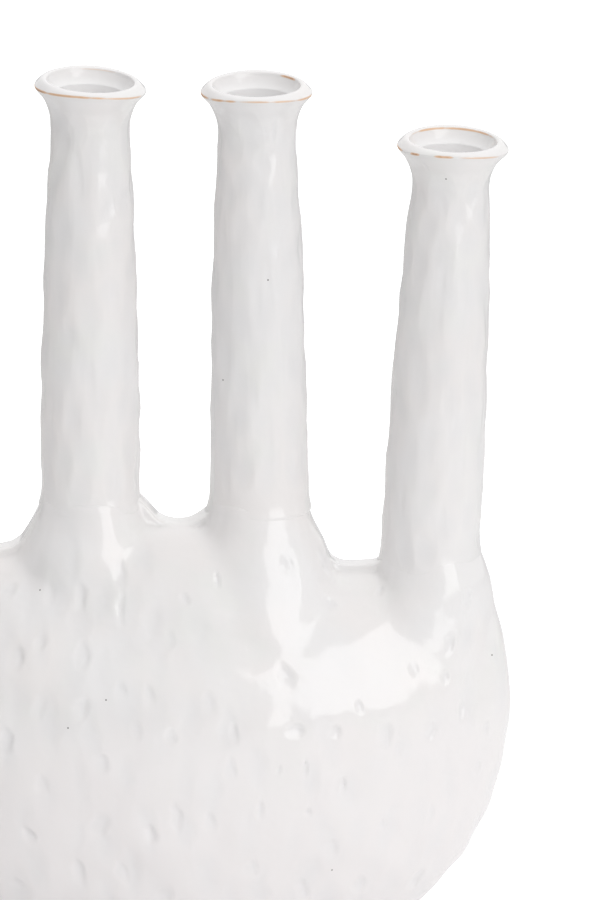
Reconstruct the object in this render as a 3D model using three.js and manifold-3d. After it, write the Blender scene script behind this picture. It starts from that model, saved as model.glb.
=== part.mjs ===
// A white glazed stoneware vase with a flattened body and four flared necks in a row.
// Millimetres, +Z up, +X to the right, the front faces -Y, origin under the middle of the foot.
//
// The body is two pressed halves that meet in a seam on the plane y = 0. They stand on an oval base slab
// with an unglazed foot ring. Each neck is a separate tube, luted to a flat joint on top of the body, with a
// short spigot that goes down into the hole there.

import * as THREE from 'three';
import { mergeVertices } from 'three/addons/utils/BufferGeometryUtils.js';
import Module from 'manifold-3d';

const wasm = await Module();
wasm.setup();

// Body
const bodyHalfWidth = 108.5;
const bodyHalfDepth = 48;
const equatorHeight = 92;
const saddleHeight = 136;          // ridge between an inner and an outer neck, on the right
const leftShoulderLift = 4.5;      // the left shoulder was built this much higher
const middleSaddleHeight = 149.5;  // ridge between the two inner necks
const bodyEdgeRadius = 15;         // seen from above, where the two faces meet at the sides
const edgeRadiusGrowth = 0.06;     // how much rounder the edge gets for each millimetre down from the equator
const roundestEdge = 0.62;         // the edge's radius stays under this share of the half depth
const wall = 4.5;

// Foot
const footHeight = 3;
const slabTop = 8;
const footHalfWidth = 46;
const footHalfDepth = 26;
const footRingWidth = 7;

// Necks
const rimNod = 3.3;                // the rims tip this many degrees toward the front
const lipSag = 0.9;                // the lip's edge is lower at its sides and higher at front and back
const boreRadius = 11.6;           // hole in the body under each neck
const spigotGap = 0.35;
const spigotLength = 4;
const spigotWall = 2.2;
const innerJoint = 156;
const outerJointRight = 136.75;
const outerJointLeft = outerJointRight + leftShoulderLift;
// Where each one stands and how long it is, its extra radius, how far its axis leans and how its rim tips
const necks = [
  { name: 'neck_outer_left', x: -82, joint: outerJointLeft, length: 138.6, extra: 0.2, lean: -6.5, tilt: -0.5 },
  { name: 'neck_inner_left', x: -27, joint: innerJoint, length: 139.3, extra: 0.35, lean: 0.9, tilt: 2.2 },
  { name: 'neck_inner_right', x: 27.3, joint: innerJoint - 0.5, length: 138.4, extra: 0, lean: -0.8, tilt: 0.3 },
  { name: 'neck_outer_right', x: 81.8, joint: outerJointRight, length: 139.2, extra: 0.35, lean: 7.1, tilt: 2.5 },
];

// Facets
const stepsPerQuarter = 13;
const roundSides = 28;

// Smooth curve through [height, value] points.
function curveThrough(points) {
  const heights = new Float32Array(points.map(([height]) => height));
  const values = new Float32Array(points.map(([, value]) => value));
  const curve = new THREE.CubicInterpolant(heights, values, 1, new Float32Array(1));
  return (height) => curve.evaluate(THREE.MathUtils.clamp(height, heights[0], heights.at(-1)))[0];
}

// Below the equator the body is an ellipsoid whose pole would lie this far under it; the foot cuts it off.
const sidePoleDepth = 103;
const facePoleDepth = 111;

const widthAbove = curveThrough([
  [equatorHeight, bodyHalfWidth],
  [equatorHeight + 9, bodyHalfWidth - 0.2],
  [equatorHeight + 16, bodyHalfWidth - 1.6],
  [equatorHeight + 30, bodyHalfWidth - 5.2],
  [saddleHeight + 1, bodyHalfWidth - 8.7],
]);

// The faces lean in from the equator to a narrow ridge.
const depthAbove = curveThrough([
  [equatorHeight, bodyHalfDepth],
  [equatorHeight + 8, bodyHalfDepth - 1.8],
  [equatorHeight + 18, bodyHalfDepth - 8],
  [equatorHeight + 28, bodyHalfDepth - 17.5],
  [equatorHeight + 36, bodyHalfDepth - 26.5],
  [saddleHeight - 4, 15],
  [saddleHeight - 1.5, 9.5],
  [saddleHeight, 4],
]);

// How wide, how deep and how round at its two edges the body is at a height.
function bodySection(height) {
  const below = Math.max(0, equatorHeight - height);
  const halfWidth = below > 0 ? bodyHalfWidth * Math.sqrt(1 - (below / sidePoleDepth) ** 2) : widthAbove(height);
  const halfDepth = below > 0 ? bodyHalfDepth * Math.sqrt(1 - (below / facePoleDepth) ** 2) : depthAbove(height);
  const edgeRadius = Math.min(bodyEdgeRadius + below * edgeRadiusGrowth, halfDepth * roundestEdge);
  return { halfWidth, halfDepth, edgeRadius };
}

// One quarter of a lens with rounded edges, as [x, y] from the right edge to the front of the +Y face.
function lensQuarter({ halfWidth, halfDepth, edgeRadius }) {
  const width = halfWidth - edgeRadius;
  const depth = halfDepth - edgeRadius;
  const faceRadius = (width ** 2 + depth ** 2) / (2 * depth);
  const tipAngle = Math.PI / 2 - Math.asin(Math.min(1, width / faceRadius));
  const edgeSteps = Math.round(stepsPerQuarter * 0.45);
  return Array.from({ length: stepsPerQuarter }, (_, step) => {
    if (step < edgeSteps) {
      const angle = (tipAngle * step) / edgeSteps;
      return [width + edgeRadius * Math.cos(angle), edgeRadius * Math.sin(angle)];
    }
    const angle = tipAngle + ((Math.PI / 2 - tipAngle) * (step - edgeSteps)) / (stepsPerQuarter - edgeSteps);
    const radius = faceRadius + edgeRadius;
    return [radius * Math.cos(angle), radius * Math.sin(angle) + depth - faceRadius];
  });
}

function lensRing(section, height) {
  const quarter = lensQuarter(section);
  const top = [0, section.halfDepth];
  const right = quarter.map(([x, y]) => [x, y]);
  const left = [top, ...quarter.slice(1).reverse()].map(([x, y]) => [-x, y]);
  const upper = [...right, ...left];
  const lower = upper.map(([x, y]) => [-x, -y]);
  return [...upper, ...lower].map(([x, y]) => new THREE.Vector3(x, y, height));
}

function ovalRing(centreX, halfWidth, halfDepth, height, sides = roundSides) {
  return Array.from({ length: sides }, (_, side) => {
    const angle = (2 * Math.PI * side) / sides;
    return new THREE.Vector3(centreX + halfWidth * Math.cos(angle), halfDepth * Math.sin(angle), height);
  });
}

// Skin over rings of equally many points, from the lowest ring up. A closed loft joins the last ring to the
// first, as a tube's wall does; an open one gets a cap at both ends, in strips that run from +Y to -Y.
function loft(rings, closed = false) {
  const sides = rings[0].length;
  const points = rings.flat();
  const faces = [];
  const bands = closed ? rings.length : rings.length - 1;
  for (let band = 0; band < bands; band += 1) {
    for (let side = 0; side < sides; side += 1) {
      const a = band * sides + side;
      const b = band * sides + ((side + 1) % sides);
      const c = ((band + 1) % rings.length) * sides + ((side + 1) % sides);
      const d = ((band + 1) % rings.length) * sides + side;
      faces.push(a, b, c, a, c, d);
    }
  }
  if (!closed) {
    const last = (rings.length - 1) * sides;
    for (let side = 0; side < sides / 2; side += 1) {
      const next = side + 1;
      const mirror = (sides - side) % sides;
      const mirrorNext = sides - next;
      if (next !== mirrorNext) faces.push(mirrorNext, next, side, last + side, last + next, last + mirrorNext);
      if (side !== mirror) faces.push(mirror, mirrorNext, side, last + side, last + mirrorNext, last + mirror);
    }
  }
  const geometry = new THREE.BufferGeometry().setFromPoints(points);
  geometry.setIndex(faces);
  return geometry;
}

function toSolid(geometry) {
  const bare = geometry.clone();
  bare.deleteAttribute('normal');
  bare.deleteAttribute('uv');
  const merged = mergeVertices(bare);
  return new wasm.Manifold(new wasm.Mesh({
    numProp: 3,
    vertProperties: new Float32Array(merged.attributes.position.array),
    triVerts: new Uint32Array(merged.index.array),
  }));
}

function toGeometry(solid) {
  const { vertProperties, triVerts } = solid.getMesh();
  const geometry = new THREE.BufferGeometry();
  geometry.setAttribute('position', new THREE.BufferAttribute(new Float32Array(vertProperties), 3));
  geometry.setIndex(new THREE.BufferAttribute(new Uint32Array(triVerts), 1));
  geometry.computeVertexNormals();
  return geometry;
}

// The left shoulder rises from the equator up, so the left saddle ends higher than the right one.
function liftLeftShoulder(point) {
  const up = THREE.MathUtils.clamp((point.z - equatorHeight) / (saddleHeight - equatorHeight), 0, 1);
  const left = THREE.MathUtils.smoothstep(-point.x, 0, 45);
  point.z += leftShoulderLift * up * left;
  return point;
}

function bodyLoft(heights, inset) {
  return loft(heights.map((height) => {
    const { halfWidth, halfDepth, edgeRadius } = bodySection(height);
    const section = {
      halfWidth: halfWidth - inset,
      halfDepth: halfDepth - inset,
      edgeRadius: Math.min(edgeRadius, (halfDepth - inset) * roundestEdge),
    };
    return lensRing(section, height).map(liftLeftShoulder);
  }));
}

// The blade that closes the gap between the two inner necks, up to the middle saddle.
function middleBlade() {
  const rise = middleSaddleHeight;
  return loft([
    ovalRing(0, 54, 31, rise - 31),
    ovalRing(0, 50, 27.5, rise - 22),
    ovalRing(0, 45, 22.5, rise - 14),
    ovalRing(0, 41, 18, rise - 9),
    ovalRing(0, 37, 13, rise - 5),
    ovalRing(0, 32, 8.5, rise - 2),
    ovalRing(0, 29, 6, rise - 0.6),
    ovalRing(0, 27, 4, rise),
  ]);
}

// A boss under a neck: round at the joint, flaring down until it has sunk into the body. Each row is how far
// below the joint, then the half width and the half depth there.
const innerBossRows = [
  [54, 26, 39],
  [42, 26, 36.5],
  [31, 24.8, 31.5],
  [21, 22.2, 26.2],
  [13, 19.6, 22],
  [6, 17.6, 18.5],
  [0, 16.2, 16.2],
];
const outerBossRows = [
  [46, 16, 18],
  [34, 16.6, 20],
  [24, 16.8, 20.2],
  [15, 16.8, 19.2],
  [7, 16.5, 17.7],
  [0, 16.1, 16.1],
];
const bossSides = 36;

function boss(neck) {
  const inner = Math.abs(neck.x) < bodyHalfWidth / 2;
  const rows = inner ? innerBossRows : outerBossRows;
  const outward = inner ? 0 : Math.sign(neck.x) * 0.04;
  return loft(rows.map(([below, halfWidth, halfDepth]) => (
    ovalRing(neck.x + outward * below, halfWidth, halfDepth, neck.joint - below, bossSides)
  )));
}

function boreUnder(neck) {
  const bottom = equatorHeight + 16;
  return loft([
    ovalRing(neck.x, boreRadius, boreRadius, bottom),
    ovalRing(neck.x, boreRadius, boreRadius, neck.joint + 5),
  ]);
}

function bodyShell() {
  const belowEquator = [slabTop, 13, 20, 29, 40, 53, 68, 82];
  const outsideHeights = [...belowEquator, equatorHeight, 101, 110, 118, 125, 130, 133.5, 135.3, saddleHeight];
  const insideHeights = [slabTop - 2, 13, 20, 30, 44, 60, 78, equatorHeight, 103, 113, 121, 127];
  let shell = toSolid(bodyLoft(outsideHeights, 0)).add(toSolid(middleBlade()));
  for (const neck of necks) shell = shell.add(toSolid(boss(neck)));
  shell = shell.subtract(toSolid(bodyLoft(insideHeights, wall)));
  for (const neck of necks) shell = shell.subtract(toSolid(boreUnder(neck)));
  return shell;
}

// A half is what is left when a block takes the other side of the seam away.
function bodyHalf(shell, side) {
  const reach = 4 * bodyHalfWidth;
  const block = new THREE.BoxGeometry(reach, reach, reach).translate(0, (-side * reach) / 2, 0);
  return toGeometry(shell.subtract(toSolid(block)));
}

function baseSlab() {
  return loft([footHeight, 5.5, slabTop].map((height) => lensRing(bodySection(height), height)));
}

function footRing() {
  const edge = 1.2;
  const oval = (inset, height) => lensRing({
    halfWidth: footHalfWidth - inset,
    halfDepth: footHalfDepth - inset,
    edgeRadius: (footHalfDepth - inset) * roundestEdge,
  }, height);
  return loft([
    oval(edge, 0),
    oval(0, edge),
    oval(0, footHeight),
    oval(footRingWidth, footHeight),
    oval(footRingWidth, edge),
    oval(footRingWidth - edge, 0),
  ], true);
}

// The wall of a neck as [radius, height above the joint]: up the outside, round the sharp lip and down the bore.
function neckProfile(rim, extra) {
  const spigotRadius = boreRadius - spigotGap;
  return [
    [spigotRadius, -spigotLength],
    [spigotRadius, 0],
    [16.1, 0],
    [15.8, 4],
    [15.6 + extra, 22],
    [15.1 + extra, 50],
    [14.4 + extra, 76],
    [13.5 + extra, 101],
    [12.5 + extra, rim - 18],
    [12.7, rim - 13],
    [13.5, rim - 9.7],
    [14.6, rim - 7],
    [16.4, rim - 4.7],
    [17.7, rim - 2.5],
    [17.4, rim - 1.6],
    [15.9, rim - 0.15],
    [15.2, rim],
    [14.4, rim - 0.2],
    [13.8, rim - 1.1],
    [11, rim - 4.8],
    [10.1, rim - 9.5],
    [9.7, rim - 16],
    [9.8, 100],
    [11.4, 50],
    [12, 16],
    [spigotRadius - spigotWall, 5],
    [spigotRadius - spigotWall, -spigotLength],
  ];
}

// The axis leans sideways evenly from the joint up, the top of the neck tips with its rim, and the lip sags.
function neckGeometry({ length, extra, lean, tilt }) {
  const sideSlope = Math.tan(THREE.MathUtils.degToRad(tilt));
  const frontSlope = Math.tan(THREE.MathUtils.degToRad(rimNod));
  const rings = neckProfile(length, extra).map(([radius, height]) => {
    const along = Math.max(0, height) / length;
    const tipped = THREE.MathUtils.smoothstep(height, length - 45, length);
    const sag = lipSag * tipped * THREE.MathUtils.smoothstep(radius, 13, 17);
    return ovalRing(0, radius, radius, height).map(({ x, y }) => {
      const fall = x * sideSlope * tipped - y * frontSlope * tipped + (sag * (x ** 2 - y ** 2)) / radius ** 2;
      return new THREE.Vector3(x + lean * along, y, height - fall);
    });
  });
  return loft(rings, true);
}

const glaze = { color: 0xe9e6e0, roughness: 0.12, metalness: 0 };
const bareClay = { color: 0xd8cab4, roughness: 0.8, metalness: 0 };

function namedMesh(name, geometry, finish) {
  if (!geometry.attributes.normal) geometry.computeVertexNormals();
  const mesh = new THREE.Mesh(geometry, new THREE.MeshStandardMaterial(finish));
  mesh.name = name;
  return mesh;
}

const vase = new THREE.Group();

const body = new THREE.Group();
const shell = bodyShell();
body.add(namedMesh('body_front_half', bodyHalf(shell, -1), glaze));
body.add(namedMesh('body_back_half', bodyHalf(shell, 1), glaze));
body.add(namedMesh('base_slab', baseSlab(), glaze));
body.add(namedMesh('foot_ring', footRing(), bareClay));
vase.add(body);

const neckRow = new THREE.Group();
for (const neck of necks) {
  const tube = namedMesh(neck.name, neckGeometry(neck), glaze);
  tube.position.set(neck.x, 0, neck.joint);
  neckRow.add(tube);
}
vase.add(neckRow);

export default vase;
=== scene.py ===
import math
import random

import bmesh
import bpy
import numpy as np
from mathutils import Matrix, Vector, noise
from mathutils.bvhtree import BVHTree


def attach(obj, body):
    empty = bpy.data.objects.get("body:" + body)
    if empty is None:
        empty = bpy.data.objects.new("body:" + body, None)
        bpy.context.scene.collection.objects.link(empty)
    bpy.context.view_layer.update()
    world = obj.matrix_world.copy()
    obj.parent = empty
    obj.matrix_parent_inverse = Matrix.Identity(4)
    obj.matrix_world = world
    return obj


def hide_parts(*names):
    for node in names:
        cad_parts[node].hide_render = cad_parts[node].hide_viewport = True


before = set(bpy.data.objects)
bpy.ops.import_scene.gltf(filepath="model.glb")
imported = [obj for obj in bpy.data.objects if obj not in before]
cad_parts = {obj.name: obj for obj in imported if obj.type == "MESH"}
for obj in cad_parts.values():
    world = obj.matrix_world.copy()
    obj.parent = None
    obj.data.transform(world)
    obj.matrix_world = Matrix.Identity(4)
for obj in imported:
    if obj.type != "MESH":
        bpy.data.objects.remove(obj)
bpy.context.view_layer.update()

bpy.ops.object.select_all(action="DESELECT")
mm = 0.001
print("frame loaded:", ", ".join(sorted(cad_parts)))


# Camera: a long lens a little above the rims, looking at the middle of the picture
cameraView = {
    "elevation": 15.5,
    "distance": 3.0,
    "lookAt": (0.0403, 0.0, 0.1734),
    "pictureHeight": 0.288,      # what the 900 rows of the picture cover at the vase
    "pictureSize": (600, 900),
}


def setCamera(view):
    bpy.ops.object.camera_add()
    camera = bpy.context.object
    tilt = math.radians(view["elevation"])
    back = Vector((0, -math.cos(tilt), math.sin(tilt)))
    camera.location = Vector(view["lookAt"]) + back * view["distance"]
    camera.rotation_euler = (math.pi / 2 - tilt, 0, 0)
    camera.data.sensor_fit = "VERTICAL"
    camera.data.sensor_height = 36
    camera.data.lens = 36 * view["distance"] / view["pictureHeight"]
    camera.data.clip_end = 50
    bpy.context.scene.camera = camera


# The camera's line of sight through a column and row of the picture
def lineOfSight(view, column, row):
    tilt = math.radians(view["elevation"])
    back = Vector((0, -math.cos(tilt), math.sin(tilt)))
    up = Vector((0, math.sin(tilt), math.cos(tilt)))
    width, height = view["pictureSize"]
    pixel = view["pictureHeight"] / height
    middle = Vector(view["lookAt"])
    target = middle + Vector(((column - width / 2) * pixel, 0, 0)) + up * (height / 2 - row) * pixel
    eye = middle + back * view["distance"]
    return eye, (target - eye).normalized()


setCamera(cameraView)
print("camera set")


# Small helpers that stand for what the hand does in the window
def pick(*pieces):
    bpy.ops.object.select_all(action="DESELECT")
    for piece in pieces:
        piece.select_set(True)
    bpy.context.view_layer.objects.active = pieces[-1]


def useModifier(piece, kind, **settings):
    pick(piece)
    modifier = piece.modifiers.new(kind.title(), kind)
    for setting, value in settings.items():
        setattr(modifier, setting, value)
    bpy.ops.object.modifier_apply(modifier=modifier.name)


def smoothCage(piece, levels):
    useModifier(piece, "SUBSURF", levels=levels, render_levels=levels)


def cutAway(piece, cutter, operation="DIFFERENCE"):
    useModifier(piece, "BOOLEAN", object=cutter, operation=operation, solver="MANIFOLD")
    bpy.data.objects.remove(cutter, do_unlink=True)


def selectRing(mesh, first, count):
    cage = bmesh.from_edit_mesh(mesh)
    cage.verts.ensure_lookup_table()
    for vertex in cage.verts:
        vertex.select = first <= vertex.index < first + count
    cage.select_flush(True)
    cage.select_flush(False)
    bmesh.update_edit_mesh(mesh)


def coordinates(mesh):
    flat = np.empty(len(mesh.vertices) * 3)
    mesh.vertices.foreach_get("co", flat)
    return flat.reshape(-1, 3)


def vertexNormals(mesh):
    flat = np.empty(len(mesh.vertices) * 3)
    mesh.vertices.foreach_get("normal", flat)
    return flat.reshape(-1, 3)


def moveTo(mesh, points):
    mesh.vertices.foreach_set("co", points.ravel())
    mesh.update()


def keepValue(mesh, name, values):
    layer = mesh.attributes.get(name) or mesh.attributes.new(name, "FLOAT", "POINT")
    before = np.empty(len(values))
    layer.data.foreach_get("value", before)
    layer.data.foreach_set("value", np.maximum(before, values))


# From 0 to 1 between two places, easing in and out
def ease(value, low, high):
    part = np.clip((value - low) / (high - low), 0, 1)
    return part * part * (3 - 2 * part)


# Rings are extruded one on another and scaled, as a wall is coiled up. A row is height, half width, half
# depth and, where the ring isn't on the axis, the x of its middle.
def coilUp(name, rows, sides=32, outline=None, closeRound=False):
    bpy.ops.mesh.primitive_circle_add(vertices=sides, radius=1)
    piece = bpy.context.object
    piece.name = name
    piece.data.name = name
    if outline:
        for vertex, (x, y) in zip(piece.data.vertices, outline):
            vertex.co = (x, y, 0)
    rows = [tuple(row) + (0,) * (4 - len(row)) for row in rows]
    height, halfWidth, halfDepth, middle = rows[0]
    bpy.ops.object.mode_set(mode="EDIT")
    bpy.ops.mesh.select_mode(type="VERT")
    bpy.ops.mesh.select_all(action="SELECT")
    bpy.ops.transform.resize(value=(halfWidth * mm, halfDepth * mm, 1), center_override=(0, 0, 0))
    bpy.ops.transform.translate(value=(middle * mm, 0, height * mm))
    for lower, upper in zip(rows, rows[1:]):
        move = ((upper[3] - lower[3]) * mm, 0, (upper[0] - lower[0]) * mm)
        grow = (upper[1] / lower[1], upper[2] / lower[2], 1)
        bpy.ops.mesh.extrude_region_move(TRANSFORM_OT_translate={"value": move})
        bpy.ops.transform.resize(value=grow, center_override=(upper[3] * mm, 0, upper[0] * mm))
    last = sides * (len(rows) - 1)
    if closeRound:
        cage = bmesh.from_edit_mesh(piece.data)
        for vertex in cage.verts:
            vertex.select = vertex.index < sides or vertex.index >= last
        cage.select_flush(True)
        for edge in cage.edges:
            edge.select = all(v.index < sides for v in edge.verts) or all(v.index >= last for v in edge.verts)
        bmesh.update_edit_mesh(piece.data)
        bpy.ops.mesh.bridge_edge_loops()
    else:
        bpy.ops.mesh.edge_face_add()
        selectRing(piece.data, 0, sides)
        bpy.ops.mesh.edge_face_add()
    bpy.ops.mesh.select_all(action="SELECT")
    bpy.ops.mesh.normals_make_consistent(inside=False)
    bpy.ops.object.mode_set(mode="OBJECT")
    return piece


# Body: two shallow pressed shells, lens-shaped seen from above, with a narrow ridge on top
bodyShape = {
    "halfWidth": 108.5,
    "halfDepth": 47.8,
    "edgeRadius": 15,
    "equator": 92,
    "facePole": 111,
    "slabTop": 8,
    "wall": 4.5,
    "leftLift": 4.8,
    "liftWidth": 45,
    "ridge": 136,
    "top": 146,
    # height and half width, from the base up to the equator
    "lowerRows": (
        (3, 54.4), (5.5, 58.6), (8, 62.5), (13, 69.3), (20, 77.3), (29, 85.5), (40, 94.9), (53, 101.4),
        (68, 106.0), (82, 108.0),
    ),
    # height, in from the widest, half depth, from the equator up
    "upperRows": (
        (92, 0, 47.65), (96, 0, 47.2), (101, 0.1, 46.1), (106, 0.7, 44.1), (111, 1.8, 41.2), (116, 3.1, 37.4),
        (121, 4.5, 32.6), (126, 5.6, 26.6), (130, 6.5, 20.8), (132.6, 7.5, 14.8), (134, 8.3, 9.0),
        (134.6, 8.7, 4.6),
    ),
    "clay": 0.7,                 # size of the voxels that the outside is worked in
    "evenOut": 12,               # smoothing steps all over
    "blendIn": 150,              # and more of them away from the narrow ridge and the joints
}

# Each row of a boss is how far below the joint, then half width, half depth and how far outward its middle is
bossRows = {
    "inner": ((44, 27, 38, 0), (34, 26.8, 33.8, 0), (26, 25.9, 29.4, 0), (20, 24.4, 26.2, 0),
              (15.7, 23.0, 24.0, 0), (12.3, 21.6, 22.2, 0), (9.6, 20.2, 20.4, 0), (6.5, 18.7, 18.9, 0),
              (3, 17.2, 17.5, 0), (0, 16.4, 16.5, 0), (-6, 16.1, 16.1, 0)),
    "inner_left": ((44, 27, 31, 0), (34, 26.8, 27.2, 0), (26, 25.9, 24.6, 0), (20, 24.4, 23.2, 0),
                   (15.7, 23.0, 22.4, 0), (12.3, 21.6, 21.6, 0), (9.6, 20.2, 20.4, 0), (6.5, 18.7, 18.9, 0),
                   (3, 17.2, 17.5, 0), (0, 16.4, 16.5, 0), (-6, 16.1, 16.1, 0)),
    "outer": ((46, 26, 24.0, -6.0), (34, 27.4, 25.2, -7.4), (24, 26.8, 23.6, -6.4), (16, 24.4, 21.6, -4.2),
              (10, 21.3, 20.0, -1.4), (5, 18.9, 18.8, 0.5), (1.5, 17.7, 17.7, 0.6), (-1, 17.0, 17.0, 0.5),
              (-3, 16.2, 16.2, 0.2), (-6, 15.7, 15.7, 0)),
}

# The shoulder between the two inner necks, as height, half width and half depth
bladeRows = (
    (110, 56, 37.6), (119, 54, 34.2), (128, 50, 29.6), (136, 45, 24.5), (141, 41, 20.3), (145, 37, 15.6),
    (148, 33, 10), (149.2, 30, 5.5),
)

# The narrow ridge: the x and height of its top line, climbing the necks at each end of a saddle
ridgeShape = {
    "halfThickness": 5,
    "foot": 118,
    # where the blending of the walls fades out: heights against the top line, and distances aside
    "keptHeights": (-6, -2),
    "keptAside": (9, 5.5),
    "left": (
        (-68, 146), (-66, 142.9), (-63, 141.4), (-56, 141.2), (-52, 142.2), (-49.3, 144.2), (-47, 148.2),
        (-44.6, 152.6), (-43, 156), (-40, 158),
    ),
    "middle": (
        (-14, 160.5), (-11, 158.4), (-9.4, 156.3), (-5.5, 151.6), (-2.7, 150.1), (0.5, 149.3), (4.5, 149.4),
        (7.3, 150.6), (9.5, 152.2), (11.4, 153.8), (14, 156),
    ),
    "right": (
        (40, 158), (42.9, 154.2), (44.8, 149), (46.9, 143.6), (48.3, 141), (50.2, 138.6), (52.5, 137),
        (56, 136.6), (62, 136.6), (64.3, 136.8), (66, 137.6), (68, 139),
    ),
}

# Where each neck stands, how high its joint and how long it is, its extra girth, how far its rim leans to
# the right, how many degrees the rim tips down to the right, and how far the clay over the joint hangs on
# the outer side
neckPlaces = {
    "neck_outer_left": {"x": -82, "joint": 141.25, "length": 138.6, "stout": 0.2, "lean": -6.5, "tilt": -0.5,
                        "boss": "outer", "hang": 2.4},
    "neck_inner_left": {"x": -27, "joint": 156, "length": 139.3, "stout": 0.35, "lean": 0.9, "tilt": 3.4,
                        "boss": "inner_left", "hang": 0},
    "neck_inner_right": {"x": 27.3, "joint": 155.5, "length": 138.4, "stout": 0, "lean": -0.8, "tilt": 0.3,
                         "boss": "inner", "hang": 0},
    "neck_outer_right": {"x": 81.8, "joint": 136.75, "length": 139.2, "stout": 0.35, "lean": 7.1, "tilt": 2.5,
                         "boss": "outer", "hang": 3.2},
}

# The body's side of each joint
jointShape = {
    # a hole through the wall, the flat face, and room for the clay smeared over it: radius, length and how
    # high the middle is above the joint
    "cuts": ((11.6, 52, -20), (15.4, 14, 7), (19, 14, 10.5)),
    "keptHeights": (-9, -3),     # where the blending fades out, up to the joint and round it
    "keptRadius": 20,
}


# A lens with rounded ends of half width 1 and half depth 1, counterclockwise from the right end
def lensOutline(shape, steps=16):
    width = shape["halfWidth"] - shape["edgeRadius"]
    depth = shape["halfDepth"] - shape["edgeRadius"]
    faceRadius = (width ** 2 + depth ** 2) / (2 * depth)
    tip = math.pi / 2 - math.asin(width / faceRadius)
    edgeSteps = round(steps * 0.45)
    quarter = []
    for step in range(steps):
        if step < edgeSteps:
            angle = tip * step / edgeSteps
            x = width + shape["edgeRadius"] * math.cos(angle)
            y = shape["edgeRadius"] * math.sin(angle)
        else:
            angle = tip + (math.pi / 2 - tip) * (step - edgeSteps) / (steps - edgeSteps)
            x = (faceRadius + shape["edgeRadius"]) * math.cos(angle)
            y = (faceRadius + shape["edgeRadius"]) * math.sin(angle) + depth - faceRadius
        quarter.append((x / shape["halfWidth"], y / shape["halfDepth"]))
    half = quarter + [(0, 1)] + [(-x, y) for x, y in reversed(quarter[1:])]
    return half + [(-x, -y) for x, y in half]


# Between an oval and a rectangle, again of half width and half depth 1
def fullOutline(sides, fullness=3):
    outline = []
    for side in range(sides):
        angle = 2 * math.pi * side / sides
        reach = (abs(math.cos(angle)) ** fullness + abs(math.sin(angle)) ** fullness) ** (-1 / fullness)
        outline.append((math.cos(angle) * reach, math.sin(angle) * reach))
    return outline


def bodyRows(shape, inset=0):
    rows = []
    for height, halfWidth in shape["lowerRows"]:
        below = (shape["equator"] - height) / shape["facePole"]
        rows.append((height, halfWidth - inset, shape["halfDepth"] * math.sqrt(1 - below ** 2) - inset))
    rows += [(height, shape["halfWidth"] - narrower - inset, depth - inset)
             for height, narrower, depth in shape["upperRows"]]
    return [row for row in rows if row[2] > 4]


# The left shoulder rises from the equator up, so the left saddle ends higher
def liftLeft(piece, shape):
    points = coordinates(piece.data)
    up = np.clip((points[:, 2] / mm - shape["equator"]) / (shape["ridge"] - shape["equator"]), 0, 1)
    points[:, 2] += shape["leftLift"] * mm * up * ease(-points[:, 0] / mm, 0, shape["liftWidth"])
    moveTo(piece.data, points)


def standRidge(line, shape):
    outline = list(line) + [(line[-1][0], shape["foot"]), (line[0][0], shape["foot"])]
    bpy.ops.mesh.primitive_circle_add(vertices=len(outline), radius=1)
    ridge = bpy.context.object
    for vertex, (x, z) in zip(ridge.data.vertices, outline):
        vertex.co = (x * mm, shape["halfThickness"] * mm, z * mm)
    bpy.ops.object.mode_set(mode="EDIT")
    bpy.ops.mesh.select_all(action="SELECT")
    bpy.ops.mesh.edge_face_add()
    through = (0, -2 * shape["halfThickness"] * mm, 0)
    bpy.ops.mesh.extrude_region_move(TRANSFORM_OT_translate={"value": through})
    bpy.ops.mesh.select_all(action="SELECT")
    bpy.ops.mesh.normals_make_consistent(inside=False)
    bpy.ops.object.mode_set(mode="OBJECT")
    return ridge


# The walls are blended more than the ridge, which stays narrow
def blendWalls(piece, shape):
    points = coordinates(piece.data)
    kept = np.zeros(len(points))
    outer, inner = ridgeShape["keptAside"]
    for saddle in ("left", "middle", "right"):
        along, top = zip(*ridgeShape[saddle])
        line = np.interp(points[:, 0] / mm, along, top, left=1e3, right=1e3)
        onTop = ease(points[:, 2] / mm - line, *ridgeShape["keptHeights"])
        kept = np.maximum(kept, onTop * ease(-np.abs(points[:, 1]) / mm, -outer, -inner))
    low, high = jointShape["keptHeights"]
    for place in neckPlaces.values():
        aside = np.hypot(points[:, 0] - place["x"] * mm, points[:, 1]) / mm
        above = ease(points[:, 2] / mm, place["joint"] + low, place["joint"] + high)
        kept = np.maximum(kept, above * (aside < jointShape["keptRadius"]))
    walls = piece.vertex_groups.new(name="walls")
    walls.add(list(range(len(points))), 1, "REPLACE")
    for index in np.flatnonzero(kept > 0):
        walls.add([int(index)], 1 - kept[index], "REPLACE")
    useModifier(piece, "SMOOTH", factor=0.5, iterations=shape["evenOut"])
    useModifier(piece, "SMOOTH", factor=0.5, iterations=shape["blendIn"], vertex_group="walls")


def pressOutside(shape):
    outside = coilUp("vase_outside", bodyRows(shape), sides=64, outline=lensOutline(shape))
    smoothCage(outside, 2)
    liftLeft(outside, shape)
    lumps = [coilUp("middle_blade", bladeRows, sides=32, outline=fullOutline(32))]
    for place in neckPlaces.values():
        side = math.copysign(1, place["x"])
        rows = [(place["joint"] - below, width, depth, place["x"] + side * outward)
                for below, width, depth, outward in bossRows[place["boss"]]]
        lumps.append(coilUp("boss", rows, sides=32))
    for lump in lumps:
        smoothCage(lump, 2)
    lumps += [standRidge(ridgeShape[saddle], ridgeShape) for saddle in ("left", "middle", "right")]
    pick(*lumps, outside)
    bpy.ops.object.join()
    outside.data.remesh_voxel_size = shape["clay"] * mm
    bpy.ops.object.voxel_remesh()
    blendWalls(outside, shape)
    return outside


body = pressOutside(bodyShape)
print("body pressed:", len(body.data.vertices), "points")


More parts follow.
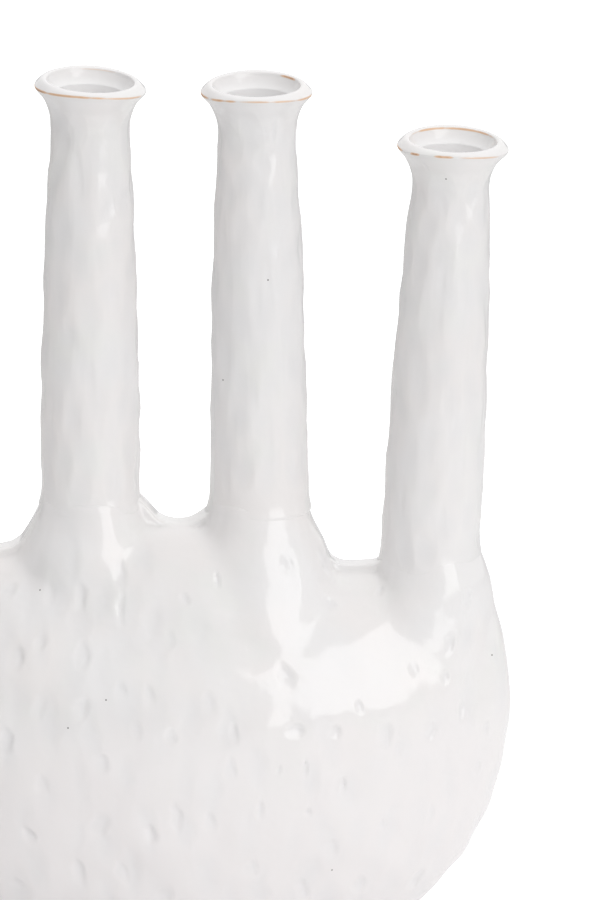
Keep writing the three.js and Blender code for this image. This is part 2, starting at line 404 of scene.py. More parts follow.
# Slow lumps in the clay, stretched upward
def kneadClay(piece, height, across, along, seed, share=1.0):
    points = coordinates(piece.data)
    normals = vertexNormals(piece.data)
    shift = Vector((seed * 7.3, seed * 3.1, seed * 5.7))
    heights = np.array([
        noise.noise(Vector((x / (across * mm), y / (across * mm), z / (along * mm))) + shift)
        for x, y, z in points
    ])
    moveTo(piece.data, points + normals * (heights * share * height * mm)[:, None])


bodyLumps = (
    {"height": 0.7, "across": 26, "along": 38, "seed": 1},
    {"height": 0.6, "across": 11, "along": 13, "seed": 2},
)


# Dents. A scoop is what a fingertip leaves: a steep edge at the top and the right, running out to the left
# and below. A stroke is softer and longer, and a flat is one pat of a paddle. All are measured from the
# middle of the dent in half widths and half lengths.
def scoop(across, along):
    wall = ease(1 - np.hypot(across, along), 0, 0.62)
    return wall * (0.3 + 0.7 * ease(across, -0.9, 0.5)) * ease(along, -1, 0.15)


def stroke(across, along):
    wall = ease(1 - np.hypot(across, along), 0, 0.85)
    return wall * (0.4 + 0.6 * ease(across, -0.9, 0.3))


def flat(across, along):
    return np.clip(1 - across ** 2 - along ** 2, 0, None)


# Sizes in millimetres and the tilt in degrees; across and along are the least steps to the next dent
bodyStrokes = {
    "press": stroke,
    "halfWidth": (3.8, 6.6),
    "halfLength": (8.0, 16.0),
    "depth": (0.16, 0.42),
    "tilt": 8,
    "across": 8.4,
    "along": 17.0,
    "lowest": 10,
    "seed": 5,
}

bodyDents = {
    "press": scoop,
    "halfWidth": (2.4, 4.0),
    "halfLength": (4.0, 8.0),
    "depth": (0.3, 0.65),
    "tilt": 10,
    "across": 13.0,
    "along": 18.0,
    "lowest": 14,
    "seed": 11,
}

# The dents that the photograph shows: the column and row of the middle, half width and half length in
# millimetres, depth, and how far the top leans left in degrees
seenDents = (
    (81, 657, 3.4, 7.2, 0.72, 0), (41, 643, 2.6, 4.4, 0.58, 0), (14, 659, 3.8, 6.6, 0.68, 0),
    (80, 600, 2.6, 6.6, 0.61, 0), (120, 609, 2.2, 9.0, 0.5, 0), (48, 597, 3.0, 6.0, 0.3, 0),
    (185, 600, 2.0, 3.4, 0.43, 5), (218, 581, 1.0, 3.2, 0.6, -5), (120, 692, 2.6, 5.0, 0.41, 0),
    (149, 697, 2.6, 5.5, 0.41, 8), (208, 706, 2.8, 5.4, 0.36, 0), (234, 735, 1.9, 4.6, 0.6, 16),
    (295, 731, 4.0, 3.6, 0.8, 0), (334, 733, 3.0, 3.6, 0.8, 10), (385, 738, 3.3, 6.6, 0.78, 0),
    (285, 678, 3.4, 5.8, 0.75, 12), (360, 708, 1.8, 3.4, 0.43, 14), (414, 670, 2.2, 3.4, 0.45, 0),
    (449, 647, 1.9, 5.0, 0.58, -8), (446, 678, 1.8, 2.4, 0.62, 0), (461, 712, 1.9, 6.0, 0.53, -14),
    (485, 731, 1.7, 4.2, 0.5, -16), (475, 770, 1.8, 3.4, 0.38, -10), (398, 752, 2.2, 4.4, 0.33, 0),
    (305, 770, 1.2, 5.0, 0.62, 0), (343, 787, 1.2, 3.8, 0.66, 0), (279, 771, 1.3, 2.4, 0.4, 0),
    (260, 812, 1.5, 4.8, 0.53, 0), (309, 813, 1.6, 2.0, 0.45, 0), (230, 771, 2.6, 5.4, 0.41, 0),
    (381, 827, 2.4, 3.4, 0.41, 0), (430, 818, 1.9, 5.4, 0.35, -6), (29, 837, 2.5, 4.3, 0.8, 34),
    (150, 836, 2.8, 4.8, 0.8, 18), (176, 820, 2.5, 7.2, 0.68, 8), (209, 823, 2.3, 5.4, 0.43, 10),
    (121, 874, 2.8, 6.4, 0.49, 10), (17, 883, 3.2, 3.0, 0.46, 0), (5, 742, 3.4, 6.4, 0.58, 0),
    (171, 737, 3.0, 3.4, 0.58, 0), (135, 733, 2.2, 4.8, 0.33, 12), (378, 591, 1.7, 2.4, 0.43, 0),
    (329, 605, 3.4, 3.8, 0.51, 0), (467, 600, 2.0, 4.5, 0.38, -6), (250, 870, 2.8, 5.0, 0.41, 0),
    (330, 850, 2.6, 5.0, 0.41, 0),
)


# Random places for dents, but never closer than the given steps across and along. They are drawn on a plain
# oval wall, so the same ones come up every time, and carried on to the piece from outside.
def scatterDents(piece, girth, heights, allowed, style, taken=(), tries=6000, outside=60):
    tree = BVHTree.FromObject(piece, bpy.context.evaluated_depsgraph_get())
    rng = random.Random(style["seed"])
    dents = list(taken)
    drawn = np.array([dent["centre"] / mm for dent in dents]).reshape(-1, 3)
    for attempt in range(tries):
        height = rng.uniform(*heights)
        angle = rng.uniform(0, 2 * math.pi)
        halfWidth, halfDepth = girth(height)
        spot = Vector((halfWidth * math.cos(angle), halfDepth * math.sin(angle), height))
        outward = Vector((halfDepth * math.cos(angle), halfWidth * math.sin(angle), 0)).normalized()
        dent = {
            "tilt": math.radians(rng.gauss(0, style["tilt"])),
            "halfWidth": rng.uniform(*style["halfWidth"]) * mm,
            "halfLength": rng.uniform(*style["halfLength"]) * mm,
            "depth": rng.uniform(*style["depth"]) * mm,
            "press": style["press"],
        }
        step = drawn - np.array(spot)
        level = np.hypot(step[:, 0], step[:, 1]) / style["across"]
        if np.any(np.hypot(level, step[:, 2] / style["along"]) < 1):
            continue
        place, normal, face, far = tree.ray_cast((spot + outward * outside) * mm, -outward)
        if place and allowed(place / mm, normal):
            dents.append(dict(dent, centre=np.array(place), normal=np.array(normal)))
            drawn = np.vstack([drawn, np.array(spot)])
    return dents


# The seen dents that the camera's line of sight meets on this piece
def dentsSeenOn(piece, seen):
    tree = BVHTree.FromObject(piece, bpy.context.evaluated_depsgraph_get())
    dents = []
    for column, row, halfWidth, halfLength, depth, lean in seen:
        place, normal, face, far = tree.ray_cast(*lineOfSight(cameraView, column, row))
        if place:
            dents.append({
                "centre": np.array(place),
                "normal": np.array(normal),
                "tilt": math.radians(lean),
                "halfWidth": halfWidth * mm,
                "halfLength": halfLength * mm,
                "depth": depth * mm,
                "press": scoop,
            })
    return dents


dentEdges = {
    "waveLength": 4.5,           # the outlines of the dents wander in waves of this size
    "reach": 1.2,                # how far past its half length a dent looks for points
    "fullHollow": 0.4,           # glaze pools fully in dents of this depth
}


def pressDents(piece, dents, wander=0.0):
    points = coordinates(piece.data)
    normals = vertexNormals(piece.data)
    hollow = np.zeros(len(points))
    push = np.zeros_like(points)
    wavy = points
    if wander:
        wavy = points + wander * mm * np.array([
            noise.noise_vector(Vector(point) / (dentEdges["waveLength"] * mm)) for point in points
        ])
    for dent in dents:
        normal = Vector(dent["normal"])
        right = Vector((0, 0, 1)).cross(normal).normalized()
        up = normal.cross(right)
        turn = dent["tilt"]
        across = np.array(right * math.cos(turn) + up * math.sin(turn))
        along = np.array(up * math.cos(turn) - right * math.sin(turn))
        step = wavy - np.array(dent["centre"])
        reach = dentEdges["reach"] * max(dent["halfLength"], dent["halfWidth"])
        near = np.flatnonzero((np.abs(step).max(axis=1) < reach) & (normals @ normal > 0.2))
        sideways = step[near] @ across / dent["halfWidth"]
        upward = step[near] @ along / dent["halfLength"]
        amount = dent["press"](sideways, upward)
        pooled = min(1, dent["depth"] / (dentEdges["fullHollow"] * mm))
        push[near] -= np.outer(amount * dent["depth"], np.array(normal))
        hollow[near] = np.maximum(hollow[near], amount * pooled)
    moveTo(piece.data, points + push)
    keepValue(piece.data, "hollow", hollow)


# Where the photograph shows the front smooth but for the seen dents
calmPatches = (
    {"middle": (50, 112), "halfWidth": 44, "halfHeight": 23},
    {"middle": (12, 136), "halfWidth": 26, "halfHeight": 12},
)


dentedBody = {
    "leastDepth": 15,            # half depth of the oval that the dents of the narrow top are drawn on
    "flattest": 0.8,             # no dents where the wall faces up or down more than this
    "clearOfNecks": 24,          # nor within this radius of a neck, from this far below its joint
    "belowJoint": 14,
}


def bodyPlaces(piece, style, taken=()):
    heights, halfWidths, halfDepths = zip(*bodyRows(bodyShape))

    def girth(height):
        halfDepth = max(np.interp(height, heights, halfDepths), dentedBody["leastDepth"])
        return np.interp(height, heights, halfWidths), halfDepth

    def allowed(place, normal):
        if abs(normal.z) > dentedBody["flattest"]:
            return False
        for neck in neckPlaces.values():
            high = place.z > neck["joint"] - dentedBody["belowJoint"]
            if high and math.hypot(place.x - neck["x"], place.y) < dentedBody["clearOfNecks"]:
                return False
        for patch in calmPatches:
            x, z = patch["middle"]
            away = math.hypot((place.x - x) / patch["halfWidth"], (place.z - z) / patch["halfHeight"])
            if place.y < 0 and away < 1:
                return False
        return True

    return scatterDents(piece, girth, (style["lowest"], bodyShape["top"]), allowed, style, taken=taken)


for lumps in bodyLumps:
    kneadClay(body, **lumps)
pressDents(body, bodyPlaces(body, bodyStrokes), wander=1.2)
bodyDentList = bodyPlaces(body, bodyDents, taken=dentsSeenOn(body, seenDents))
pressDents(body, bodyDentList, wander=1.0)
print("dents pressed:", len(bodyDentList))


# The inside of the body, the holes under the necks and the flat joints on top
def hollowBody(piece, shape):
    inside = coilUp("vase_inside", bodyRows(shape, inset=shape["wall"]), sides=64, outline=lensOutline(shape))
    smoothCage(inside, 1)
    liftLeft(inside, shape)
    cutAway(piece, inside)
    for place in neckPlaces.values():
        for radius, length, above in jointShape["cuts"]:
            bpy.ops.mesh.primitive_cylinder_add(
                vertices=64, radius=radius * mm, depth=length * mm,
                location=(place["x"] * mm, 0, (place["joint"] + above) * mm))
            cutAway(piece, bpy.context.object)


# A block that takes away one side of a plane
def blockBeyond(axis, sign, plane):
    size = 1.0
    centre = [0.0, 0.0, 0.0]
    centre[axis] = plane + sign * size / 2
    bpy.ops.mesh.primitive_cube_add(size=size, location=centre)
    return bpy.context.object


def copyOf(piece, name):
    pick(piece)
    bpy.ops.object.duplicate()
    twin = bpy.context.object
    twin.name = name
    twin.data.name = name
    return twin


# Both sides of a seam keep the shading of the uncut body, so no line shows
def shadeAcrossSeams(part, whole, within=0.02):
    tree = BVHTree.FromObject(whole, bpy.context.evaluated_depsgraph_get())
    mesh = part.data
    slab = bodyShape["slabTop"] * mm
    seam = {}
    for vertex in mesh.vertices:
        if abs(vertex.co.y) < within * mm or abs(vertex.co.z - slab) < within * mm:
            place, flatNormal, face, far = tree.find_nearest(vertex.co)
            corners = [whole.data.vertices[index] for index in whole.data.polygons[face].vertices]
            weights = [1 / ((corner.co - vertex.co).length + 1e-7) for corner in corners]
            normal = sum((corner.normal * weight for corner, weight in zip(corners, weights)), Vector())
            seam[vertex.index] = normal.normalized()
    normals = [Vector(corner.vector) for corner in mesh.corner_normals]
    for polygon in mesh.polygons:
        for corner in polygon.loop_indices:
            across = seam.get(mesh.loops[corner].vertex_index)
            if across and across.dot(polygon.normal) > 0.7:
                normals[corner] = across
    mesh.normals_split_custom_set(normals)


def splitBody(whole):
    slabTop = bodyShape["slabTop"] * mm
    parts = {
        "body_front_half": ((1, 1, 0.0), (2, -1, slabTop)),
        "body_back_half": ((1, -1, 0.0), (2, -1, slabTop)),
        "base_slab": ((2, 1, slabTop),),
    }
    pieces = []
    for name, cuts in parts.items():
        part = copyOf(whole, name + "_clay")
        for cut in cuts:
            cutAway(part, blockBeyond(*cut))
        pick(part)
        bpy.ops.object.shade_smooth_by_angle(angle=math.radians(50))
        shadeAcrossSeams(part, whole)
        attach(part, "root")
        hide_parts(name)
        pieces.append(part)
    bpy.data.objects.remove(whole, do_unlink=True)
    return pieces


hollowBody(body, bodyShape)
bodyPieces = splitBody(body)
print("body split at its seams")


# Necks: the wall is coiled up the outside, rolled over at the rim and carried down the bore. The rows are
# radius and height above the joint, from the clay smeared over the joint up; the rim rows count down from
# the crest.
neckShape = {
    "nod": 2.9,                  # how far the rims tip toward the front, in degrees
    "outside": (
        (11.25, -4), (11.25, -0.4), (11.7, -0.1), (14.6, -0.1), (15.2, -1.6), (16.2, -2.0), (16.75, -1.3),
        (16.7, -0.3), (16.4, 1.0), (16.15, 2.8), (15.95, 5), (15.9, 9), (15.8, 20), (15.5, 35), (15.25, 50),
        (14.9, 64), (14.5, 78), (14.05, 92), (13.45, 105), (12.85, 115),
    ),
    "rim": (
        (12.5, -18), (12.5, -15.5), (12.65, -13.3), (12.9, -11.8), (13.3, -10.5), (13.7, -9.2), (14.25, -7.8),
        (15.1, -6.2), (16.3, -4.5), (17.2, -3.1), (17.65, -2.45), (17.78, -2.1), (17.7, -1.75), (17.4, -1.45),
        (16.7, -0.9), (15.9, -0.5), (15.2, -0.3), (14.6, -0.27), (14.15, -0.4), (13.9, -0.75), (13.75, -1.3),
        (13.1, -2.3), (12.4, -3.4), (11.7, -4.3), (11.3, -4.7), (11.15, -4.95), (11.15, -5.3), (11.0, -6.4),
        (10.5, -9.5), (10.1, -14), (9.8, -20),
    ),
    "bore": (
        (9.8, 100), (10.5, 70), (11.4, 40), (11.9, 18), (11.6, 11), (9.4, 5.5), (9.05, 4), (9.05, -3.6),
        (9.5, -4),
    ),
    "sides": 48,
    "stoutFrom": (4, 30),        # heights between which the extra girth comes in
    "stoutTo": (12, 20),         # and how far below the crest it ends
    "shaftFrom": (4, 12),        # heights between which the hand marks come in
    "shaftTo": (8, 16),          # how far below the crest they end
    "shaftRadius": 12,           # and the radius inside which there are none
    "girth": 15,                 # half width of the plain round wall that the dents are drawn on
    "dented": (8, 14),           # from this far above the joint to this far below the crest
    "flattest": 0.5,             # and only where the wall faces up or down less than this
    "tipFrom": 45,               # how far below the crest the rim starts to tip
    "lip": (15, 17.7),           # radii between which the edge of the rim sags
    "sag": 0.9,                  # it hangs down at the sides and stands up at front and back
    "skirtHeights": (-10, -1),   # how far below the joint, with a minus above it, the clay over it hangs
    "skirtRadii": (14.6, 15.8),
    "skirtGirth": 16.5,
    "skirtFlare": 0.35,          # and how far it flares for each millimetre that it hangs
    # the painted light in the bore: where its mouth ends, the radii of mouth and bore, and the depths between
    # which it fades in
    "mouthDepth": 5.5,
    "mouthRadius": 14,
    "boreRadius": 12,
    "boreFade": (1.5, 5),
    # where the glaze has drawn back from the clay: radius, depth below the crest and reach
    "bareEdges": {"outer": (17.75, 2.0, 0.42), "inner": (13.9, 0.8, 0.36)},
}

# Where round each rim the glaze is thin: the edge, the bearing of the middle (0 right, 90 back), the half
# width of the arc and how bare it is
rimWear = {
    "neck_outer_left": (("outer", 250, 60, 0.7), ("inner", 80, 50, 0.5)),
    "neck_inner_left": (("outer", 195, 32, 1.0), ("outer", 250, 40, 0.8), ("outer", 312, 30, 0.5),
                        ("outer", 60, 50, 0.6), ("inner", 80, 30, 0.3)),
    "neck_inner_right": (("outer", 188, 22, 1.0), ("outer", 232, 16, 0.9), ("outer", 285, 34, 0.5),
                         ("outer", 335, 20, 0.6), ("outer", 110, 50, 0.6), ("inner", 42, 14, 1.0)),
    "neck_outer_right": (("outer", 190, 14, 0.9), ("outer", 226, 6, 1.0), ("outer", 259, 10, 0.9),
                         ("outer", 300, 26, 0.45), ("outer", 70, 60, 0.6), ("inner", 90, 66, 0.75)),
}

neckFlats = {
    "press": flat,
    "halfWidth": (3.2, 5.2),
    "halfLength": (5.0, 11.0),
    "depth": (0.25, 0.5),
    "tilt": 12,
    "across": 6.4,
    "along": 12.0,
}

neckDents = {
    "press": scoop,
    "halfWidth": (1.8, 3.2),
    "halfLength": (4.0, 9.0),
    "depth": (0.1, 0.26),
    "tilt": 6,
    "across": 9.0,
    "along": 18.0,
}

neckLumps = {"height": 0.45, "across": 8, "along": 9.5}

# Marks that the photograph shows on the necks, in the same order of values as the seen dents
seenNeckDents = (
    (268, 281, 1.6, 1.6, 0.3, 0), (458, 377, 2.4, 1.8, -0.34, 0), (441, 283, 1.6, 4.0, 0.34, -24),
    (401, 505, 1.5, 4.4, 0.36, 0), (213, 417, 1.4, 3.4, 0.3, 0), (273, 135, 1.2, 6.5, 0.36, 0),
    (426, 167, 0.7, 3.2, 0.3, 18), (75, 165, 2.6, 7.0, 0.26, 0), (255, 300, 2.6, 8.0, 0.26, 0),
    (436, 320, 2.6, 7.0, 0.26, -10),
)


def coilNeck(node, place, shape, seed):
    length = place["length"]
    rows = []
    for radius, height in shape["outside"]:
        radius += place["stout"] * float(ease(height, *shape["stoutFrom"]))
        rows.append((height, radius, radius))
    for radius, height in shape["rim"]:
        radius += place["stout"] * float(ease(-height, *shape["stoutTo"]))
        rows.append((length + height, radius, radius))
    rows += [(height, radius, radius) for radius, height in shape["bore"]]
    neck = coilUp(node + "_clay", rows, sides=shape["sides"], closeRound=True)
    smoothCage(neck, 2)
    wearRim(neck, length, shape, rimWear[node])
    # the mask of the painted light in the bore
    keepValue(neck.data, "inside", boreLightMask(neck, length, shape))

    def girth(height):
        return shape["girth"], shape["girth"]

    def allowed(spot, normal):
        return abs(normal.z) < shape["flattest"]

    lowest, belowCrest = shape["dented"]
    heights = (lowest, length - belowCrest)
    dents = scatterDents(neck, girth, heights, allowed, dict(neckFlats, seed=seed))
    dents += scatterDents(neck, girth, heights, allowed, dict(neckDents, seed=seed + 10))
    kneadClay(neck, **neckLumps, seed=seed, share=shaftOf(neck, length, shape))
    pressDents(neck, dents)
    leanNeck(neck, place, shape)
    pressDents(neck, dentsSeenOn(neck, seenNeckDents))
    pick(neck)
    bpy.ops.object.shade_smooth_by_angle(angle=math.radians(60))
    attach(neck, "root")
    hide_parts(node)
    return neck


# 1 on the shaft, 0 at the rim, over the joint and in the bore
def shaftOf(neck, length, shape):
    points = coordinates(neck.data)
    outside = np.hypot(points[:, 0], points[:, 1]) > shape["shaftRadius"] * mm
    below = ease(length - points[:, 2] / mm, *shape["shaftTo"])
    return below * ease(points[:, 2] / mm, *shape["shaftFrom"]) * outside


# How far down inside the rim a point is, the mask of the painted light in the bore: 1 in the bore, 0 on the
# lip and outside
def boreLightMask(neck, length, shape):
    points = coordinates(neck.data)
    radius = np.hypot(points[:, 0], points[:, 1])
    depth = length - points[:, 2] / mm
    widest = np.where(depth < shape["mouthDepth"], shape["mouthRadius"] * mm, shape["boreRadius"] * mm)
    return (radius < widest) * ease(depth, *shape["boreFade"])


def wearRim(neck, length, shape, arcs):
    points = coordinates(neck.data)
    radius = np.hypot(points[:, 0], points[:, 1])
    depth = length * mm - points[:, 2]
    bearing = np.degrees(np.arctan2(points[:, 1], points[:, 0]))
    for edge, middle, halfArc, bareness in arcs:
        edgeRadius, edgeDepth, edgeReach = shape["bareEdges"][edge]
        away = np.hypot(radius - edgeRadius * mm, depth - edgeDepth * mm) / (edgeReach * mm)
        aside = np.abs((bearing - middle + 180) % 360 - 180) / halfArc
        keepValue(neck.data, "bareEdge", bareness * np.exp(-away ** 2 - aside ** 4))


# The axis leans out evenly, the top tips with the rim, the lip sags a little at the sides, and the clay
# smeared over an outer joint hangs lower on its outer side
def leanNeck(neck, place, shape):
    length = place["length"]
    points = coordinates(neck.data)
    up = np.clip(points[:, 2] / (length * mm), 0, None)
    tip = ease(points[:, 2] / mm, length - shape["tipFrom"], length)
    radius = np.hypot(points[:, 0], points[:, 1])
    sideways = (points[:, 0] ** 2 - points[:, 1] ** 2) / np.maximum(radius, mm) ** 2
    points[:, 2] -= shape["sag"] * mm * sideways * tip * ease(radius / mm, *shape["lip"])
    points[:, 2] -= points[:, 0] * math.tan(math.radians(place["tilt"])) * tip
    points[:, 2] += points[:, 1] * math.tan(math.radians(shape["nod"])) * tip
    outward = points[:, 0] * math.copysign(0.5, place["x"]) / (shape["skirtGirth"] * mm) + 0.5
    skirt = ease(-points[:, 2] / mm, *shape["skirtHeights"])
    hang = place["hang"] * mm * outward * skirt * ease(radius / mm, *shape["skirtRadii"])
    points[:, 2] -= hang
    points[:, :2] *= (1 + shape["skirtFlare"] * hang / np.maximum(radius, mm))[:, None]
    points[:, 2] += place["joint"] * mm
    points[:, 0] += place["lean"] * mm * up + place["x"] * mm
    moveTo(neck.data, points)


neckPieces = [coilNeck(node, place, neckShape, seed)
              for seed, (node, place) in enumerate(neckPlaces.items(), start=21)]
print("necks coiled:", ", ".join(neck.name for neck in neckPieces))


# Foot ring: bare clay, oval, with worn edges
footShape = {
    "halfWidth": 46,
    "halfDepth": 26,
    # how far in from the outer edge, and the height
    "rows": (
        (0.05, 3), (0, 1.6), (0.25, 0.6), (1.0, 0.05), (1.6, 0), (5.2, 0), (5.9, 0.05), (6.7, 0.6),
        (7, 1.6), (6.95, 3),
    ),
}


def layFoot(shape):
    rows = [(height, shape["halfWidth"] - inset, shape["halfDepth"] - inset)
            for inset, height in shape["rows"]]
    ring = coilUp("foot_ring_clay", rows, sides=64, closeRound=True)
    smoothCage(ring, 1)
    pick(ring)
    bpy.ops.object.shade_smooth_by_angle(angle=math.radians(60))
    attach(ring, "root")
    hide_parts("foot_ring")
    return ring


foot = layFoot(footShape)
print("foot ring laid")


# Finishes. A small kit of nodes, then one function for each finish.
class Finish:
    def __init__(self, name):
        self.material = bpy.data.materials.new(name)
        self.material.use_nodes = True
        self.nodes = self.material.node_tree.nodes
        self.links = self.material.node_tree.links
        self.shader = self.nodes["Principled BSDF"]
        self.place = self.nodes.new("ShaderNodeTexCoord").outputs["Object"]

    def feed(self, value, socket):
        if isinstance(value, bpy.types.NodeSocket):
            self.links.new(value, socket)
        else:
            socket.default_value = value

    def height(self):
        split = self.nodes.new("ShaderNodeSeparateXYZ")
        self.links.new(self.place, split.inputs["Vector"])
        return split.outputs["Z"]

    def cloud(self, scale, detail=2):
        texture = self.nodes.new("ShaderNodeTexNoise")
        texture.inputs["Scale"].default_value = scale
        texture.inputs["Detail"].default_value = detail
        self.links.new(self.place, texture.inputs["Vector"])
        return texture.outputs["Fac"]

    def ramp(self, value, low, high, start=0.0, end=1.0):
        spread = self.nodes.new("ShaderNodeMapRange")
        self.feed(value, spread.inputs["Value"])
        self.feed(low, spread.inputs["From Min"])
        self.feed(high, spread.inputs["From Max"])
        self.feed(start, spread.inputs["To Min"])
        self.feed(end, spread.inputs["To Max"])
        return spread.outputs["Result"]

    def combine(self, operation, first, second):
        maths = self.nodes.new("ShaderNodeMath")
        maths.operation = operation
        self.feed(first, maths.inputs[0])
        self.feed(second, maths.inputs[1])
        return maths.outputs["Value"]

    def mix(self, amount, under, over):
        blend = self.nodes.new("ShaderNodeMix")
        blend.data_type = "RGBA"
        self.feed(amount, blend.inputs["Factor"])
        self.feed(under, blend.inputs["A"])
        self.feed(over, blend.inputs["B"])
        return blend.outputs["Result"]

    def painted(self, name):
        attribute = self.nodes.new("ShaderNodeAttribute")
        attribute.attribute_name = name
        return attribute.outputs["Fac"]

    # 1 inside a small round spot at a point, 0 outside
    def spot(self, point, radius):
        away = self.nodes.new("ShaderNodeVectorMath")
        away.operation = "DISTANCE"
        self.links.new(self.place, away.inputs[0])
        away.inputs[1].default_value = point
        return self.ramp(away.outputs["Value"], radius, radius * 0.55)

    def bump(self, height, distance, strength=1.0):
        relief = self.nodes.new("ShaderNodeBump")
        relief.inputs["Distance"].default_value = distance
        relief.inputs["Strength"].default_value = strength
        self.feed(height, relief.inputs["Height"])
        self.links.new(relief.outputs["Normal"], self.shader.inputs["Normal"])


glazeLook = {
    "white": (0.80, 0.787, 0.787, 1),
    "pink": (0.81, 0.785, 0.778, 1),
    "green": (0.795, 0.787, 0.775, 1),
    # painted reflection of the floor: pinker and a little darker on the lower body, fading in between the two
    # heights that follow
    "floorReflectionPink": (0.80, 0.772, 0.772, 1),
    "floorReflectionBelow": (0.1, 0.055),
    "pooled": (0.75, 0.745, 0.755, 1),
    # painted light: a lighter glaze colour in the bore that stands in for light reaching down into it
    "inside": (0.89, 0.88, 0.88, 1),
    "bareEdge": (0.74, 0.49, 0.32, 1),
    "burntEdge": (0.42, 0.24, 0.16, 1),
    "pinhole": (0.12, 0.10, 0.09, 1),
    "roughness": 0.11,
    "ior": 1.6,
    # column and row of the pinholes that the photograph shows, and their radius
    "pinholes": (
        (40, 590), (106, 700), (68, 728), (492, 655), (332, 870), (268, 280), (223, 380), (446, 179),
    ),
    "pinholeRadius": 0.32 * mm,
}


def pinholePlaces(pieces, look):
    trees = [BVHTree.FromObject(piece, bpy.context.evaluated_depsgraph_get()) for piece in pieces]
    places = []
    for column, row in look["pinholes"]:
        hits = [tree.ray_cast(*lineOfSight(cameraView, column, row)) for tree in trees]
        places.append(min((hit for hit in hits if hit[0]), key=lambda hit: hit[3])[0])
    return places


def whiteGlaze(look, pinholes):
    glaze = Finish("white_glaze")
    glaze.shader.inputs["IOR"].default_value = look["ior"]
    tone = glaze.mix(glaze.ramp(glaze.cloud(34), 0.4, 0.62), look["white"], look["pink"])
    tone = glaze.mix(glaze.ramp(glaze.cloud(55), 0.5, 0.7), tone, look["green"])
    # painted reflection of the floor: pinker towards the bottom, with a wavering edge
    height = glaze.combine("ADD", glaze.height(), glaze.ramp(glaze.cloud(16), 0.3, 0.7, -0.02, 0.02))
    tone = glaze.mix(glaze.ramp(height, *look["floorReflectionBelow"]), tone, look["floorReflectionPink"])
    tone = glaze.mix(glaze.ramp(glaze.painted("hollow"), 0, 1, 0, 0.4), tone, look["pooled"])
    # painted light in the bore
    tone = glaze.mix(glaze.painted("inside"), tone, look["inside"])
    patchy = glaze.ramp(glaze.cloud(170, 4), 0.3, 0.5, 0.35, 1)
    drawn = glaze.combine("MULTIPLY", glaze.painted("bareEdge"), patchy)
    tone = glaze.mix(glaze.ramp(drawn, 0.15, 0.5), tone, look["bareEdge"])
    tone = glaze.mix(glaze.ramp(drawn, 0.7, 0.95), tone, look["burntEdge"])
    pits = 0.0
    for point in pinholes:
        pits = glaze.combine("MAXIMUM", pits, glaze.spot(point, look["pinholeRadius"]))
    tone = glaze.mix(pits, tone, look["pinhole"])
    glaze.feed(tone, glaze.shader.inputs["Base Color"])
    rough = glaze.ramp(drawn, 0.15, 0.7, look["roughness"], 0.5)
    glaze.feed(rough, glaze.shader.inputs["Roughness"])
    glaze.bump(glaze.cloud(180, 1), 0.0004, 0.35)
    return glaze.material


clayLook = {
    "clay": (0.62, 0.53, 0.42, 1),
    "dark": (0.50, 0.41, 0.31, 1),
    "grog": (0.72, 0.65, 0.55, 1),
    "roughness": 0.85,
}


def bareClay(look):
    clay = Finish("bare_clay")
    clay.shader.inputs["Roughness"].default_value = look["roughness"]
    tone = clay.mix(clay.ramp(clay.cloud(60, 3), 0.4, 0.65), look["clay"], look["dark"])
    tone = clay.mix(clay.ramp(clay.cloud(900, 2), 0.6, 0.7), tone, look["grog"])
    clay.feed(tone, clay.shader.inputs["Base Color"])
    clay.bump(clay.cloud(700, 4), 0.0003, 0.6)
    return clay.material


def dress(pieces, material):
    for piece in pieces:
        piece.data.materials.clear()
        piece.data.materials.append(material)


dress(bodyPieces + neckPieces, whiteGlaze(glazeLook, pinholePlaces(bodyPieces + neckPieces, glazeLook)))
dress([foot], bareClay(clayLook))
print("glazed")


# Studio: a big soft box at the front right, a light behind the vase, a weak fill at the front, and a white
# floor and wall in a room that is grey at the left
studio = {
    "middle": (0, 0, 0.15),
    # azimuth from the front, elevation, distance, width, height and radiance
    "lamps": {
        "soft_box": (40, 22.5, 2.4, 1.5, 2.4, 1.6),
        "back_light": (180, 62, 2.4, 1.6, 1.6, 1.6),
        "front_fill": (-5, 8, 2.4, 2.2, 2.2, 0.5),
    },
    "unmirrored": ("front_fill", "back_light"),
    # how bright the room is at the sides, overhead and at the white wall behind the vase
    "left": 0.32,
    "right": 0.72,
    "overhead": 0.85,
    "behind": 1.0,
    # how white the floor is painted under the vase and at the far edge, a painted pool of light round the
    # vase, and between which distances it fades
    "floorNear": 0.95,
    "floorFar": 0.5,
    "floorFade": (0.25, 0.9),
    "floorFill": 0.8,
}


def hangLamp(name, middle, azimuth, elevation, distance, width, height, radiance):
    turn = math.radians(azimuth)
    rise = math.radians(elevation)
    toward = Vector((math.sin(turn) * math.cos(rise), -math.cos(turn) * math.cos(rise), math.sin(rise)))
    bpy.ops.object.light_add(type="AREA", location=Vector(middle) + toward * distance)
    lamp = bpy.context.object
    lamp.name = name
    lamp.rotation_euler = toward.to_track_quat("Z", "Y").to_euler()
    lamp.data.shape = "RECTANGLE"
    lamp.data.size = width
    lamp.data.size_y = height
    lamp.data.energy = radiance * math.pi * width * height
    lamp.visible_camera = False


# A socket that is 1 for the named kinds of ray and 0 for the rest
def rayKinds(nodes, links, *kinds):
    ray = nodes.new("ShaderNodeLightPath")
    either = None
    for kind in kinds:
        if either is None:
            either = ray.outputs[kind]
            continue
        most = nodes.new("ShaderNodeMath")
        most.operation = "MAXIMUM"
        links.new(either, most.inputs[0])
        links.new(ray.outputs[kind], most.inputs[1])
        either = most.outputs["Value"]
    return either


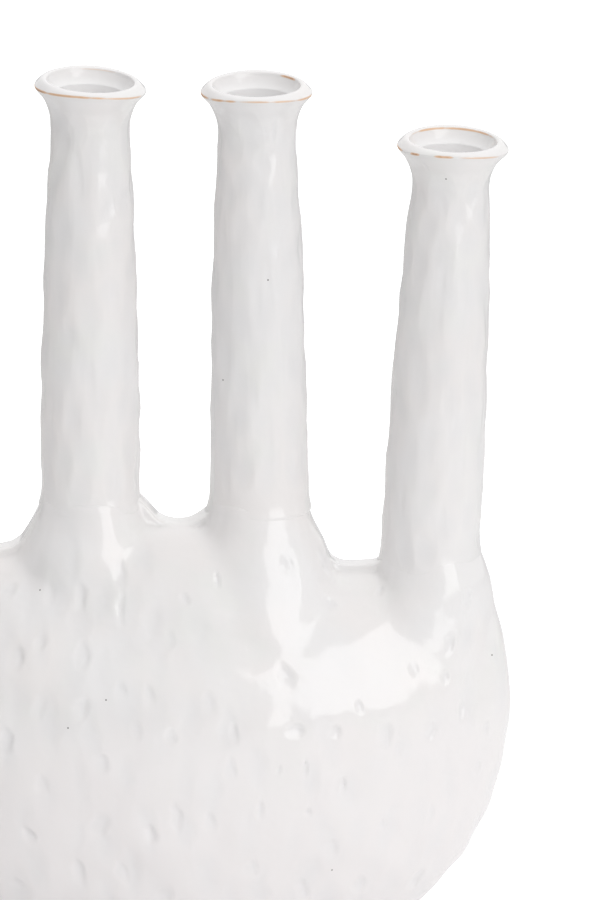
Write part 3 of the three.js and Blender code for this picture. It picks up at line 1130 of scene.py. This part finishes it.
# White where it is looked at, behind the vase and overhead, and greyer where the rest of the room lights the
# vase or shows in the glaze
def whitenRoom(plan):
    world = bpy.data.worlds.new("white_room")
    bpy.context.scene.world = world
    world.use_nodes = True
    nodes = world.node_tree.nodes
    links = world.node_tree.links
    direction = nodes.new("ShaderNodeSeparateXYZ")
    links.new(nodes.new("ShaderNodeTexCoord").outputs["Generated"], direction.inputs["Vector"])
    level = None
    steps = (("X", -0.9, 0.9, "right"), ("Z", 0.1, 0.85, "overhead"), ("Y", 0.45, 0.85, "behind"))
    for axis, low, high, brightness in steps:
        toward = nodes.new("ShaderNodeMapRange")
        toward.interpolation_type = "SMOOTHSTEP"
        toward.inputs["From Min"].default_value = low
        toward.inputs["From Max"].default_value = high
        toward.inputs["To Max"].default_value = plan[brightness]
        if level is None:
            toward.inputs["To Min"].default_value = plan["left"]
        else:
            links.new(level, toward.inputs["To Min"])
        links.new(direction.outputs[axis], toward.inputs["Value"])
        level = toward.outputs["Result"]
    seen = nodes.new("ShaderNodeMix")
    seen.inputs["B"].default_value = 1
    links.new(rayKinds(nodes, links, "Is Camera Ray", "Is Transmission Ray"), seen.inputs["Factor"])
    links.new(level, seen.inputs["A"])
    links.new(seen.outputs["Result"], nodes["Background"].inputs["Strength"])
    nodes["Background"].inputs["Color"].default_value = (1, 1, 1, 1)


def layFloor(plan):
    bpy.ops.mesh.primitive_plane_add(size=30)
    floor = bpy.context.object
    floor.name = "floor"
    material = bpy.data.materials.new("floor")
    material.use_nodes = True
    nodes = material.node_tree.nodes
    links = material.node_tree.links
    shader = nodes["Principled BSDF"]
    # painted pool of light: the floor is whiter near the vase and greyer further away
    away = nodes.new("ShaderNodeVectorMath")
    away.operation = "LENGTH"
    links.new(nodes.new("ShaderNodeTexCoord").outputs["Object"], away.inputs[0])
    paintedFloorFalloff = nodes.new("ShaderNodeMapRange")
    paintedFloorFalloff.inputs["From Min"].default_value, paintedFloorFalloff.inputs["From Max"].default_value = plan["floorFade"]
    paintedFloorFalloff.inputs["To Min"].default_value = plan["floorNear"]
    paintedFloorFalloff.inputs["To Max"].default_value = plan["floorFar"]
    links.new(away.outputs["Value"], paintedFloorFalloff.inputs["Value"])
    links.new(paintedFloorFalloff.outputs["Result"], shader.inputs["Base Color"])
    shader.inputs["Roughness"].default_value = 1
    shader.inputs["Specular IOR Level"].default_value = 0
    shader.inputs["Emission Color"].default_value = (1, 1, 1, 1)
    fill = nodes.new("ShaderNodeMath")
    fill.operation = "MULTIPLY"
    fill.inputs[1].default_value = plan["floorFill"]
    links.new(rayKinds(nodes, links, "Is Camera Ray", "Is Transmission Ray"), fill.inputs[0])
    links.new(fill.outputs["Value"], shader.inputs["Emission Strength"])
    floor.data.materials.append(material)


for lampName, values in studio["lamps"].items():
    hangLamp(lampName, studio["middle"], *values)
for lampName in studio["unmirrored"]:
    bpy.data.objects[lampName].visible_glossy = False
whitenRoom(studio)
layFloor(studio)
bpy.context.scene.view_settings.view_transform = "Standard"
print("studio lit")
